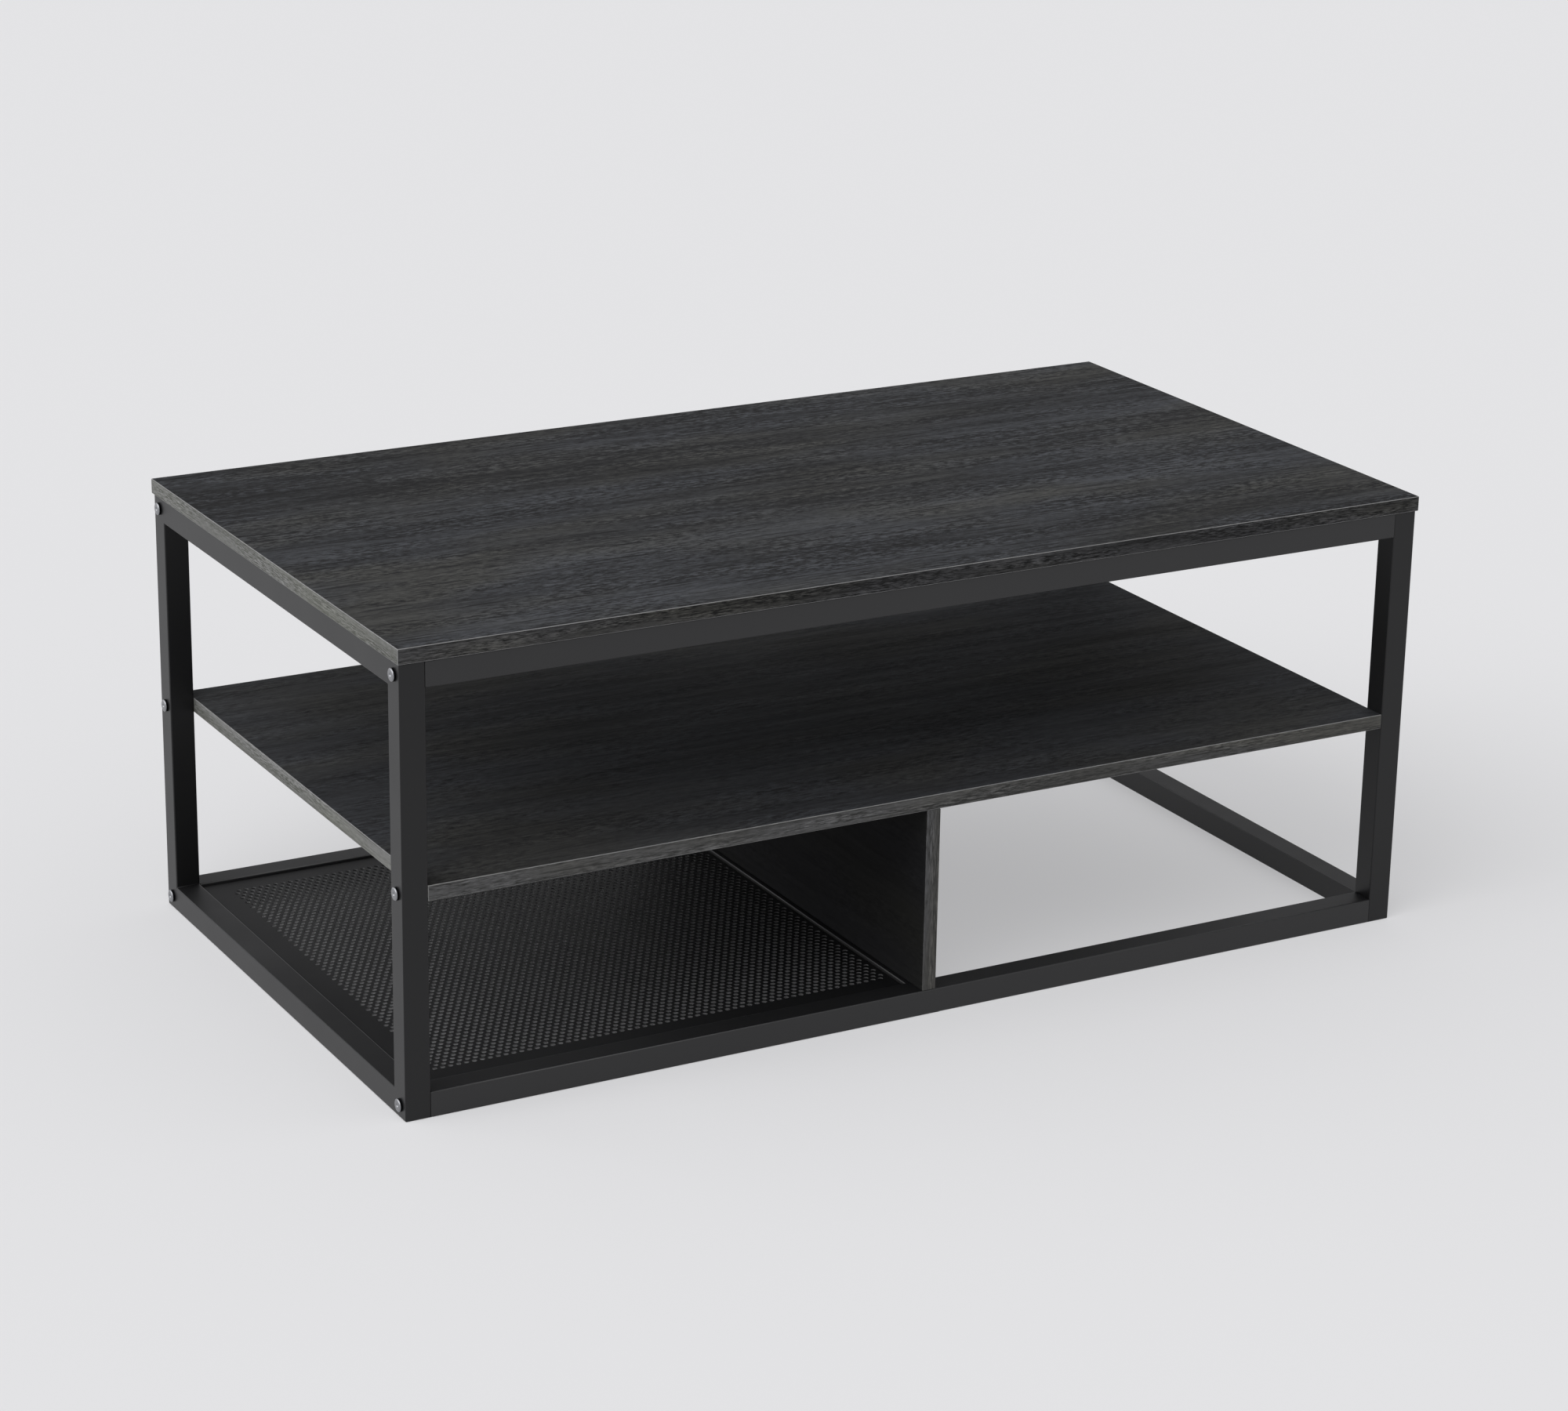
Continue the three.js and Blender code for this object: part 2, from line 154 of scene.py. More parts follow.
# %% The melamine
def wood_grain_melamine(name, grain_axis, dark, cool, warm, contrast=1.0, width_share=1.0, sheet=0.0):
    """Printed and embossed wood-grain melamine, with its grain along X, Y or Z (0, 1 or 2).

    Contrast is how much the grain shows, and width_share narrows it on a narrow band. Sheet is the
    place on the printed roll that the piece is cut from, so that no two boards show the same print."""
    material, tree, principled = new_material(name, IOR=1.5, Specular_IOR_Level=0.07)
    coordinates = add(tree, "TexCoord", {}).outputs["Object"]
    layer = {}
    for part, (length, width, detail, roughness) in PRINT_LAYERS.items():
        size = [width * width_share * MM] * 3
        size[grain_axis] = length * MM
        place = add(tree, "Mapping", {"Vector": coordinates, "Scale": [1 / side for side in size],
                                      "Location": [sheet] * 3})
        layer[part] = add(tree, "TexNoise", {"Vector": place, "Scale": 1.0, "Detail": detail,
                                             "Roughness": roughness})
    crowding = add(tree, "MapRange", {"Value": layer["crowds"], **limits["crowds"], "To Min": CALM_SHARE})
    centred = add(tree, "Math", {0: layer["flecks"], 1: 0.5}, operation="SUBTRACT")
    crowded = add(tree, "Math", {0: centred, 1: crowding}, operation="MULTIPLY")
    layer["flecks"] = add(tree, "Math", {0: crowded, 1: 0.5}, operation="ADD")
    tone = 0.5
    for part, weight in TONE_WEIGHTS.items():
        centred = add(tree, "Math", {0: layer[part], 1: 0.5}, operation="SUBTRACT")
        tone = add(tree, "Math", {0: centred, 1: weight * contrast, 2: tone}, operation="MULTIPLY_ADD")
    lightness = add(tree, "MapRange", {"Value": tone, **limits["tone"]})
    blueness = add(tree, "MapRange", {"Value": layer["tint"], **limits["tint"]})
    tint = add(tree, "MixRGB", {"Fac": blueness, "Color1": linear(warm), "Color2": linear(cool)})
    ground = add(tree, "MixRGB", {"Fac": lightness, "Color1": linear(dark), "Color2": tint})
    pores = add(tree, "MapRange", {"Value": layer["pores"], **limits["pores"], "To Min": contrast,
                                   "To Max": 0.0})
    colour = add(tree, "MixRGB", {"Fac": pores, "Color1": ground, "Color2": linear(dark)})
    gloss = add(tree, "MapRange", {"Value": layer["streaks"], **limits["streaks"], "To Min": MATT,
                                   "To Max": LESS_MATT})
    relief = add(tree, "Math", {0: layer["flecks"], 1: pores}, operation="SUBTRACT")
    bump = add(tree, "Bump", {"Height": relief, "Strength": 0.6, "Distance": EMBOSSING})
    tree.links.new(colour.outputs["Color"], principled.inputs["Base Color"])
    tree.links.new(gloss.outputs["Result"], principled.inputs["Roughness"])
    tree.links.new(bump.outputs["Normal"], principled.inputs["Normal"])
    return material


print("the tone is the sum of the", ", ".join(TONE_WEIGHTS))

# %% [markdown]
# The faces of the top and the shelf share one print. The divider's print is darker and calmer, a painted
# shade for its place under the shelf. The narrow bands glued round the edges are a paler print, whose grain
# runs along the edge and is drawn finer, and each board's bands have tones of their own as painted light
# and shade: the end bands lightest, as lit from the left, the top's front band darkest. Where the router
# trims their corner its blade leaves a pale line, made paler still as a painted highlight.

# %% Prints for faces, bands and trimmed corners
face_tones = {"dark": "#1c1c1d", "cool": "#47494d", "warm": "#474745"}
# Painted shade: the divider's darker tones stand for its place in the shade under the shelf.
panel_painted_shade_tones = {"dark": "#0e0e0f", "cool": "#2b2b2d", "warm": "#2c2c29"}
# Painted light and shade: each board's bands have their own tones, the top's darker, the shelf's and the
# divider's lighter.
top_band_painted_shade_tones = {"dark": "#1a1a1a", "cool": "#5d5d5f", "warm": "#5e5d58"}
shelf_band_painted_light_tones = {"dark": "#363635", "cool": "#737374", "warm": "#74736e"}
panel_band_painted_light_tones = {"dark": "#383837", "cool": "#666668", "warm": "#686661"}
# Painted light: the end bands are lightest, as if lit from the left.
end_band_painted_light_tones = {"dark": "#4c4d48", "cool": "#858585", "warm": "#888984"}
# The trimmed line's pale tone is partly a real trim line and partly a painted highlight along the rounded
# corner.
trim_and_painted_highlight_tones = {"dark": "#707070", "cool": "#a0a0a1", "warm": "#a1a19e"}
on_band = {"contrast": 0.7, "width_share": 0.35}
top_face = wood_grain_melamine("melamine_face_of_top", 0, **face_tones, sheet=144.3)
shelf_face = wood_grain_melamine("melamine_face_of_shelf", 0, **face_tones, contrast=0.45, sheet=12.0)
panel_face_painted_shade = wood_grain_melamine("melamine_face_of_divider_painted_shade", 1, **panel_painted_shade_tones, contrast=0.2, sheet=30.0)
top_band_painted_shade = wood_grain_melamine("melamine_band_on_top_painted_shade", 0, **top_band_painted_shade_tones, **on_band)
shelf_band_painted_light = wood_grain_melamine("melamine_band_on_shelf_painted_light", 0, **shelf_band_painted_light_tones, **on_band)
panel_band_painted_light = wood_grain_melamine("melamine_band_on_divider_painted_light", 2, **panel_band_painted_light_tones, **on_band)
end_band_painted_light = wood_grain_melamine("melamine_band_on_ends_painted_light", 1, **end_band_painted_light_tones, **on_band)
trimmed_edge_and_painted_highlight = wood_grain_melamine("melamine_trimmed_and_painted_highlight", 0, **trim_and_painted_highlight_tones, contrast=0.3)
print("melamine face tones:", ", ".join(face_tones.values()))

# %% [markdown]
# ## Black powder coat
# The steel is sprayed with dry polyester powder that melts into one skin in an oven. The eye gets a
# satin black with soft highlights along the tube's round corners and a faint orange peel, a wave of
# 2 mm or so that breaks the reflections up. It is a dielectric, so metallic stays at 0.
# A plain dark shader would pass for moulded plastic, and a mesh with real waves would be huge. One
# noise in the bump for the peel and a wider one in the gloss cost little and run on over every tube.
# The rails get a tone a little greyer than the end frames', painted light that makes their fronts read
# lighter than the posts'. The upper faces that lie level get a darker, rougher coat with less sheen, which
# is painted shade. The tray has a duller texture coat, and the walls of its punched holes are a pale grey,
# painted light for the lit walls seen in each hole.

# %% The powder coat
PEEL_WIDTH = 2.2 * MM
PEEL_DEPTH = 0.1 * MM
GLOSS_PATCH = 60 * MM


def powder_coat(name, tone, level, smooth, dull):
    """Black powder coat on steel with its orange peel.

    Level is the strength of its sheen, and its roughness lies between smooth and dull."""
    shader = {"Base_Color": linear(tone), "IOR": 1.5, "Specular_IOR_Level": level}
    material, tree, principled = new_material(name, **shader)
    coordinates = add(tree, "TexCoord", {}).outputs["Object"]
    peel = add(tree, "TexNoise", {"Vector": coordinates, "Scale": 1 / PEEL_WIDTH, "Detail": 2.0})
    patches = add(tree, "TexNoise", {"Vector": coordinates, "Scale": 1 / GLOSS_PATCH, "Detail": 2.0})
    gloss = add(tree, "MapRange", {"Value": patches, "To Min": smooth, "To Max": dull})
    bump = add(tree, "Bump", {"Height": peel, "Strength": 0.15, "Distance": PEEL_DEPTH})
    tree.links.new(gloss.outputs["Result"], principled.inputs["Roughness"])
    tree.links.new(bump.outputs["Normal"], principled.inputs["Normal"])
    return material


frame_coat = powder_coat("powder_coat_satin_on_end_frames", "#121213", level=0.34, smooth=0.34, dull=0.4)
# Painted light: the rails' greyer tone lifts their fronts above the posts'.
rail_coat_painted_light = powder_coat("powder_coat_satin_on_rails_painted_light", "#1a1a1b", level=0.5, smooth=0.42, dull=0.5)
# Painted shade on the upper faces that lie level.
level_coat_painted_shade = powder_coat("powder_coat_painted_shade_on_level_faces", "#131314", level=0.23, smooth=0.5, dull=0.6)
tray_coat = powder_coat("powder_coat_texture_black", "#0f0f10", level=0.17, smooth=0.55, dull=0.65)
# Painted light on the walls of the holes.
hole_coat_painted_light = powder_coat("powder_coat_painted_light_in_holes", "#6c6c6d", level=0.3, smooth=0.45, dull=0.55)
coats = (frame_coat, rail_coat_painted_light, level_coat_painted_shade, tray_coat, hole_coat_painted_light)
print("powder coats:", *[coat.name for coat in coats])

# %% [markdown]
# ## Bright zinc and beech
# The bolts are zinc plated: a thin bright metal, a little blue, slightly uneven from the tumbling that
# the small parts go through. It is a metal, so metallic is 1 and its colour tints the reflections.
# The wall of a bolt's head has a dark tone of its own, a painted shade for the shadow beside the head.
# The dowels that locate the divider are plain turned beech, with fibres 0.8 mm wide and 12 mm long.
# Scratches and dents in the mesh would be lost on parts this small, so one noise does each of them: it
# moves the roughness of the zinc and the colour of the beech.

# %% The zinc and the beech
TUMBLED_PATCH = 3 * MM
SMOOTHEST, ROUGHEST = 0.25, 0.42
FIBRE = (0.8 * MM, 0.8 * MM, 12 * MM)


def zinc_plate(name, tone):
    """Zinc plating on small steel parts, its gloss uneven over 3 mm or so."""
    material, tree, principled = new_material(name, Base_Color=linear(tone), Metallic=1.0)
    coordinates = add(tree, "TexCoord", {}).outputs["Object"]
    patches = add(tree, "TexNoise", {"Vector": coordinates, "Scale": 1 / TUMBLED_PATCH, "Detail": 3.0})
    gloss = add(tree, "MapRange", {"Value": patches, "To Min": SMOOTHEST, "To Max": ROUGHEST})
    tree.links.new(gloss.outputs["Result"], principled.inputs["Roughness"])
    return material


def beech(name):
    """Plain turned beech for the dowels, with its grain along Z."""
    material, tree, principled = new_material(name, Roughness=0.6, IOR=1.45)
    coordinates = add(tree, "TexCoord", {}).outputs["Object"]
    place = add(tree, "Mapping", {"Vector": coordinates, "Scale": [1 / size for size in FIBRE]})
    fibres = add(tree, "TexNoise", {"Vector": place, "Scale": 1.0, "Detail": 3.0})
    share = add(tree, "MapRange", {"Value": fibres, "From Min": 0.3, "From Max": 0.7})
    colour = add(tree, "MixRGB", {"Fac": share, "Color1": linear("#b98a5c"), "Color2": linear("#d3ab7d")})
    tree.links.new(colour.outputs["Color"], principled.inputs["Base Color"])
    return material


bolt_zinc = zinc_plate("zinc_plated_bolt_face", "#8d8e91")
# Painted shade: the head's wall is dark for the shadow beside it.
bolt_wall_painted_shade = zinc_plate("zinc_plated_bolt_wall_painted_shade", "#2c2d2f")
hidden_zinc = zinc_plate("zinc_plated_fittings", "#a9aaab")
dowel_beech = beech("turned_beech")
print("small parts:", bolt_zinc.name, bolt_wall_painted_shade.name, hidden_zinc.name, dowel_beech.name)

# %% [markdown]
# ## Turning a bmesh into a finished piece
# A finished piece takes the place of one or more CAD nodes. It could be made at the origin and moved
# into place as an object, but the CAD nodes have their place in their mesh, and a pattern that reads
# Object coordinates then lies the same way over all of them. So these pieces do as the CAD nodes do.
# Each rides on the same body and hides the CAD nodes that it stands for.

# %% Finished pieces
def as_object(name, shape):
    """A bmesh as an object at the origin."""
    mesh = bpy.data.meshes.new(name)
    shape.to_mesh(mesh)
    shape.free()
    item = bpy.data.objects.new(name, mesh)
    bpy.context.scene.collection.objects.link(item)
    return item


def finished(name, shape, materials, slot, *replaced):
    """A bmesh as a piece of the table, standing for the CAD nodes in replaced."""
    item = as_object(name, shape)
    for material in materials:
        item.data.materials.append(material)
    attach(item, "root")
    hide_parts(*replaced)
    return item


def span(*names):
    """The lowest and highest corner of several CAD nodes together."""
    boxes = [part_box(name) for name in names]
    low = Vector([min(box[0][i] for box in boxes) for i in range(3)])
    high = Vector([max(box[1][i] for box in boxes) for i in range(3)])
    return low, high


posts = span("left_front_post", "right_rear_post")
print("the posts stand in a box", round((posts[1] - posts[0]).x / MM), "mm long")

# %% [markdown]
# Boards and tubes start as a box, and sockets and drills as a bar. Their corners could be typed in as a
# list, but an operator closes the shape and turns its faces outwards by itself, and a matrix then
# gives it its size and place.

# %% Boxes and bars
BAR_SIDES = 24


def block(low, high):
    """A bmesh box between two corners."""
    shape = bmesh.new()
    size = [top - bottom for bottom, top in zip(low, high)]
    place = Matrix.Translation((Vector(low) + Vector(high)) / 2) @ Matrix.Diagonal((*size, 1))
    bmesh.ops.create_cube(shape, size=1, matrix=place)
    return shape


def bar(axis, radius, start, end, sides=BAR_SIDES):
    """A bmesh cylinder along X, Y or Z (0, 1 or 2) between two points."""
    shape = bmesh.new()
    start, end = Vector(start), Vector(end)
    turns = {0: Matrix.Rotation(pi / 2, 4, "Y"), 1: Matrix.Rotation(-pi / 2, 4, "X"), 2: Matrix()}
    place = Matrix.Translation((start + end) / 2) @ turns[axis]
    bmesh.ops.create_cone(shape, cap_ends=True, segments=sides, radius1=radius, radius2=radius,
                          depth=(end - start).length, matrix=place)
    return shape


print("a bar has", BAR_SIDES, "sides")

# %% [markdown]
# Holes, sockets and the middle of a frame are cut out of a solid, as a saw or a drill would. A bmesh has
# no operator for that, so the solid and its tools become objects for a moment, and a Boolean modifier
# does the cut. The exact solver is slower than the others, but it copes with faces that touch.

# %% Cutting
def merged(shapes):
    """Several bmeshes in one."""
    whole = bmesh.new()
    for shape in shapes:
        mesh = bpy.data.meshes.new("part")
        shape.to_mesh(mesh)
        shape.free()
        whole.from_mesh(mesh)
        bpy.data.meshes.remove(mesh)
    return whole


def cut(shape, *tools):
    """The solid with the tools cut out of it."""
    body, knife = as_object("body", shape), as_object("knife", merged(tools))
    # Empty material slots keep each face's index through the modifier.
    for i in range(1 + max(polygon.material_index for polygon in body.data.polygons)):
        body.data.materials.append(None)
    modifier = body.modifiers.new("cut", "BOOLEAN")
    modifier.operation, modifier.solver, modifier.object = "DIFFERENCE", "EXACT", knife
    result = bmesh.new()
    result.from_object(body, bpy.context.evaluated_depsgraph_get())
    for item in (body, knife):
        bpy.data.objects.remove(item)
    return result


print("holes are cut with the exact solver")

# %% [markdown]
# ## The boards
# A melamine board is cut square, then a thin band is glued round its edges and trimmed with a small
# radius. So each board starts as a plain box whose twelve edges are bevelled to 1 mm.
# One print over the whole board would run the face's grain round the corner, which no glued band does.
# So faces are told apart by the way that they point: those along the edges get the band's print, the
# rounded corners between get the trimmed line, which is partly a painted highlight, and the rest keep the
# face's.

# %% Rounded boards and their faces
EDGE_RADIUS = 1.0 * MM
EDGE_SEGMENTS = 4
# A face looks mostly along an axis when that part of its normal is over 0.5, and squarely over 0.98.
MOSTLY, SQUARELY = 0.5, 0.98


def round_edges(shape, edges, radius, segments):
    """Rounds some of a shape's edges and shades the new faces smooth."""
    made = bmesh.ops.bevel(shape, geom=edges, offset=radius, offset_type="OFFSET", affect="EDGES",
                           segments=segments, profile=0.5, material=-1)
    for face in made["faces"]:
        face.smooth = True


def rounded_board(name):
    """A board that fills a CAD node's box, with all its edges rounded."""
    shape = block(*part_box(name))
    round_edges(shape, shape.edges[:], EDGE_RADIUS, EDGE_SEGMENTS)
    return shape


def paint_towards(shape, axis, index):
    """Gives the faces that look mostly along an axis the material with this index."""
    for face in shape.faces:
        if abs(face.normal[axis]) > MOSTLY:
            face.material_index = index


def paint_trim(shape, index):
    """Gives the rounded corners the material with this index."""
    for face in shape.faces:
        if max(abs(part) for part in face.normal) < SQUARELY:
            face.material_index = index


print("board edges are rounded to", EDGE_RADIUS / MM, "mm")

# %% [markdown]
# Threaded inserts sit in the top's underside, and barrel nuts in the shelf's. A real one is pressed into
# a hole that was drilled first. They are hardly seen, and could just overlap the board, but then the
# board would be solid where the fitting is. So a drill runs up from below for each of them.

# %% Drilled boards
CLEARANCE = 0.3 * MM
DRILL_OVERRUN = 10 * MM


def pockets_for(names):
    """A drill for each of the named round fittings that stand upright in a board."""
    drills = []
    for name in names:
        low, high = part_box(name)
        middle = (low + high) / 2
        radius = (high.x - low.x) / 2 + CLEARANCE
        below = (middle.x, middle.y, low.z - DRILL_OVERRUN)
        above = (middle.x, middle.y, high.z + CLEARANCE)
        drills.append(bar(2, radius, below, above))
    return drills


top_inserts = [f"top_insert_{i + 1}" for i in range(8)]
barrel_nuts = [f"{end}_{side}_barrel_nut" for end in ("left", "right") for side in ("front", "rear")]
boards = (("top_board", top_inserts, top_face, top_band_painted_shade),
          ("middle_shelf", barrel_nuts, shelf_face, shelf_band_painted_light))
for name, fittings, face, band in boards:
    board = rounded_board(name)
    paint_towards(board, 1, 1)
    paint_towards(board, 0, 2)
    paint_trim(board, 3)
    board = cut(board, *pockets_for(fittings))
    print(name, "has", len(board.faces), "faces")
    finished(name + "_faced", board, [face, band, end_band_painted_light, trimmed_edge_and_painted_highlight], "black_board", name)

divider = rounded_board("divider_panel")
paint_towards(divider, 1, 1)
finished("divider_panel_faced", divider, [panel_face_painted_shade, panel_band_painted_light], "black_board", "divider_panel")

# %% [markdown]
# ## The end frames
# Each end frame is four mitred tubes, welded and then ground flush, so that under the paint it looks
# like one piece. Four separate tubes would show their seams. One box of the frame's size with its
# middle taken out keeps the faces unbroken, and one bevel then gives every edge the tube's radius.

# %% End frames
TUBE = (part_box("front_top_rail")[1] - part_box("front_top_rail")[0]).z
TUBE_RADIUS = 1.2 * MM
TUBE_SEGMENTS = 6
SHARP = radians(45)
WELD = 0.01 * MM
# A face lies level when the upright part of its normal is over this.
LEVEL = 0.99


def mark_level_faces(shape):
    """Gives the upper faces that lie level the second material, their painted shade."""
    for face in shape.faces:
        face.material_index = int(face.normal.z > LEVEL)


def end_frame(end):
    """One end frame: a box, its middle cut out, all edges rounded."""
    names = [f"{end}_{part}" for part in ("front_post", "rear_post", "bottom_crossbar", "top_crossbar")]
    low, high = span(*names)
    inset = Vector((-TUBE, TUBE, TUBE))
    shape = cut(block(low, high), block(low + inset, high - inset))
    bmesh.ops.remove_doubles(shape, verts=shape.verts[:], dist=WELD)
    bmesh.ops.dissolve_limit(shape, angle_limit=radians(1), verts=shape.verts[:], edges=shape.edges[:])
    corners = [edge for edge in shape.edges if edge.calc_face_angle(0) > SHARP]
    round_edges(shape, corners, TUBE_RADIUS, TUBE_SEGMENTS)
    mark_level_faces(shape)
    print(end, "end frame:", len(shape.faces), "faces")
    return finished(f"{end}_end_frame_coated", shape, [frame_coat, level_coat_painted_shade], "black_frame", *names)


for end in ("left", "right"):
    end_frame(end)

# %% [markdown]
# ## The rails
# The long rails and the bar under the divider are cut lengths of the same tube. Each could be a hollow
# profile, but its ends are hidden against other pieces, so a box with its four long edges bevelled is
# enough. It is the tube's outside.

# %% Rails
def tube_along(axis, name):
    """The outside of a tube that fills a CAD node's box."""
    shape = block(*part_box(name))
    long_edges = [e for e in shape.edges if abs((e.verts[0].co - e.verts[1].co)[axis]) > 2 * TUBE]
    round_edges(shape, long_edges, TUBE_RADIUS, TUBE_SEGMENTS)
    return shape


rails = ("front_bottom_rail", "front_top_rail", "rear_bottom_rail", "rear_top_rail")
for axis, name in [(0, rail) for rail in rails] + [(1, "tray_crossbar")]:
    tube = tube_along(axis, name)
    mark_level_faces(tube)
    print(name, "has", len(tube.faces), "faces")
    finished(name + "_coated", tube, [rail_coat_painted_light, level_coat_painted_shade], "black_frame", name)

# %% [markdown]
# ## The perforated tray
# The tray is a steel sheet with 5 mm holes punched 8 mm apart, every second row shifted by half a
# pitch. Round the holes it has a plain border of 20 mm or a little more, but only 3 mm beside the
# divider, and a rim folded down on all four sides. A picture of holes would show no walls at a low
# angle, and cutting thousands of holes one by one is slow. So the pattern is built the way that it
# repeats.

# %% Tray sizes
HOLE_DIAMETER = 5 * MM
HOLE_PITCH = 8 * MM
SHEET = 1.2 * MM
FOLD_RADIUS = 2.0 * MM
FOLD_SEGMENTS = 4
BORDER = 20 * MM
BORDER_AT_DIVIDER = 3 * MM
NET_WELD = 0.05 * MM
FLAT = 0.001 * MM

tray_low, tray_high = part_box("perforated_tray")
row_step = HOLE_PITCH * sqrt(3) / 2
columns = int((tray_high.x - tray_low.x - BORDER - BORDER_AT_DIVIDER - HOLE_PITCH / 2) / HOLE_PITCH)
rows = int((tray_high.y - tray_low.y - 2 * BORDER) / row_step) // 2 * 2
print(columns, "columns and", rows, "rows:", columns * rows, "holes")

# %% [markdown]
# Round each hole lies one hexagon of metal, and hexagons fill a staggered pattern without a gap. Two of
# them, one from each row, are the smallest piece that repeats both along and across.

# %% One pair of cells
# An eight-sided hole is round enough at 5 mm, and of the same area when its radius is a little larger.
HOLE_SIDES = 8
cell_radius = HOLE_PITCH / sqrt(3)
hole_radius = HOLE_DIAMETER / 2 * sqrt(2 * pi / (HOLE_SIDES * sin(2 * pi / HOLE_SIDES)))


def ring_cell(shape, x, y):
    """Adds one hexagon of sheet round one hole. The hexagon's corners point along Y."""
    place = Matrix.Translation((x, y, 0))
    bmesh.ops.create_circle(shape, segments=6, radius=cell_radius, matrix=place)
    bmesh.ops.create_circle(shape, segments=HOLE_SIDES, radius=hole_radius, matrix=place)
    bare = [edge for edge in shape.edges if edge.is_wire]
    bmesh.ops.triangle_fill(shape, use_beauty=True, edges=bare)


net = bmesh.new()
ring_cell(net, 0, 0)
ring_cell(net, HOLE_PITCH / 2, row_step)
print(len(net.faces), "faces in a pair of cells")

# %% [markdown]
# An Array modifier copies the pair along X, and a second one copies that row of pairs along Y. Both weld
# the copies where they touch, which leaves one connected net. It is then moved to its place in the tray.

# %% The net of cells
def arrayed(shape, count, step):
    """Copies a flat shape along a step, welding the copies where they meet."""
    item = as_object("arrayed", shape)
    modifier = item.modifiers.new("array", "ARRAY")
    modifier.count = count
    modifier.use_relative_offset, modifier.use_constant_offset = False, True
    modifier.constant_offset_displace = step
    modifier.use_merge_vertices, modifier.merge_threshold = True, NET_WELD
    result = bmesh.new()
    result.from_object(item, bpy.context.evaluated_depsgraph_get())
    bpy.data.objects.remove(item)
    return result


net = arrayed(net, columns, (HOLE_PITCH, 0, 0))
net = arrayed(net, rows // 2, (0, 2 * row_step, 0))
bmesh.ops.remove_doubles(net, verts=net.verts[:], dist=NET_WELD)
net_width = (columns + 0.5) * HOLE_PITCH
middle_x = tray_high.x - BORDER_AT_DIVIDER - net_width / 2
middle = Vector((middle_x, (tray_low.y + tray_high.y) / 2, tray_high.z))
net_middle = Vector(((net_width - HOLE_PITCH) / 2, (rows - 1) * row_step / 2, 0))
bmesh.ops.translate(net, verts=net.verts[:], vec=middle - net_middle)
print("the net has", len(net.faces), "faces")

# %% [markdown]
# The press leaves the border plain. It could be four strips, but those would have to be cut to fit the
# net's zigzag edge. Here the tray's outline is drawn as four edges, and one fill closes all the metal
# between it and the zigzag, which is the longest of the net's open loops.

# %% The border
def loops_of(shape):
    """The open edges of a shape, as connected loops."""
    # The keys of a dictionary keep their order, which the members of a set don't.
    left = dict.fromkeys(edge for edge in shape.edges if edge.is_boundary)
    loops = []
    while left:
        loop, queue = [], [left.popitem()[0]]
        while queue:
            edge = queue.pop()
            loop.append(edge)
            for vert in edge.verts:
                for other in vert.link_edges:
                    if other in left:
                        left.pop(other)
                        queue.append(other)
        loops.append(loop)
    return loops


zigzag = max(loops_of(net), key=len)
left, right, front, rear = tray_low.x, tray_high.x, tray_low.y, tray_high.y
outline = ((left, front), (right, front), (right, rear), (left, rear))
corners = [net.verts.new((x, y, tray_high.z)) for x, y in outline]
rim_edges = [net.edges.new((a, b)) for a, b in zip(corners, corners[1:] + corners[:1])]
filled = bmesh.ops.triangle_fill(net, use_beauty=True, use_dissolve=False, edges=zigzag + rim_edges)
print(len(zigzag), "edges in the zigzag,", len(filled["geom"]), "new edges and faces in the border")
# Where three points lie in one line the fill can leave a flat triangle, and it has to go.
bmesh.ops.dissolve_degenerate(net, dist=FLAT, edges=net.edges[:])
bmesh.ops.recalc_face_normals(net, faces=net.faces[:])
if sum(face.normal.z for face in net.faces) < 0:
    bmesh.ops.reverse_faces(net, faces=net.faces[:])

# %% [markdown]
# The rim is folded down on all four sides, so it is pulled down from the outline, and the fold is
# rounded. The thickness comes last, from a Solidify modifier, because it also gives every hole its wall
# in one go. Its rim faces, which are those walls, get the second material, a pale painted light.

# %% Rim and thickness
pulled = bmesh.ops.extrude_edge_only(net, edges=rim_edges)
rim_verts = [v for v in pulled["geom"] if isinstance(v, bmesh.types.BMVert)]
bmesh.ops.translate(net, verts=rim_verts, vec=(0, 0, tray_low.z - tray_high.z))
folds = [edge for edge in net.edges if edge.calc_face_angle(0) > SHARP]
round_edges(net, folds, FOLD_RADIUS, FOLD_SEGMENTS)
tray = finished("perforated_tray_sheet", net, [tray_coat, hole_coat_painted_light], "black_tray", "perforated_tray")
thickness = tray.modifiers.new("sheet thickness", "SOLIDIFY")
thickness.thickness, thickness.offset, thickness.use_even_offset = SHEET, -1, True
thickness.material_offset_rim = 1
print("the tray has", len(tray.data.polygons), "faces before it gets its thickness")

# %% [markdown]
# ## Bolts
# Twelve button-head bolts hold the rails and the shelf to the end frames. A press makes the real blank
# and a punch its hexagon socket. The head could be squashed out of a sphere, but a turned outline keeps
# every size exact. So half of the outline is spun round the X axis, and its ends close on the axis.

# %% Bolt sizes and a turned solid
HEAD_DIAMETER = 12.5 * MM
HEAD_HEIGHT = 3.0 * MM
SHANK_DIAMETER = 6 * MM
SOCKET_WIDTH = 4 * MM
SOCKET_DEPTH = 2 * MM
SOCKET_OVERRUN = 1 * MM
WALL_HEIGHT = 1.9 * MM
LAND_RADIUS = 4.4 * MM
TIP_CHAMFER = 0.6 * MM
SEAT_CHAMFER = 0.2 * MM
SHOULDER_STEPS = 8
TURN_STEPS = 32
TURNED_WELD = 0.001 * MM
# A face is one of the bolt's flat ends when the part of its normal along X is over this.
END_ON = 0.99


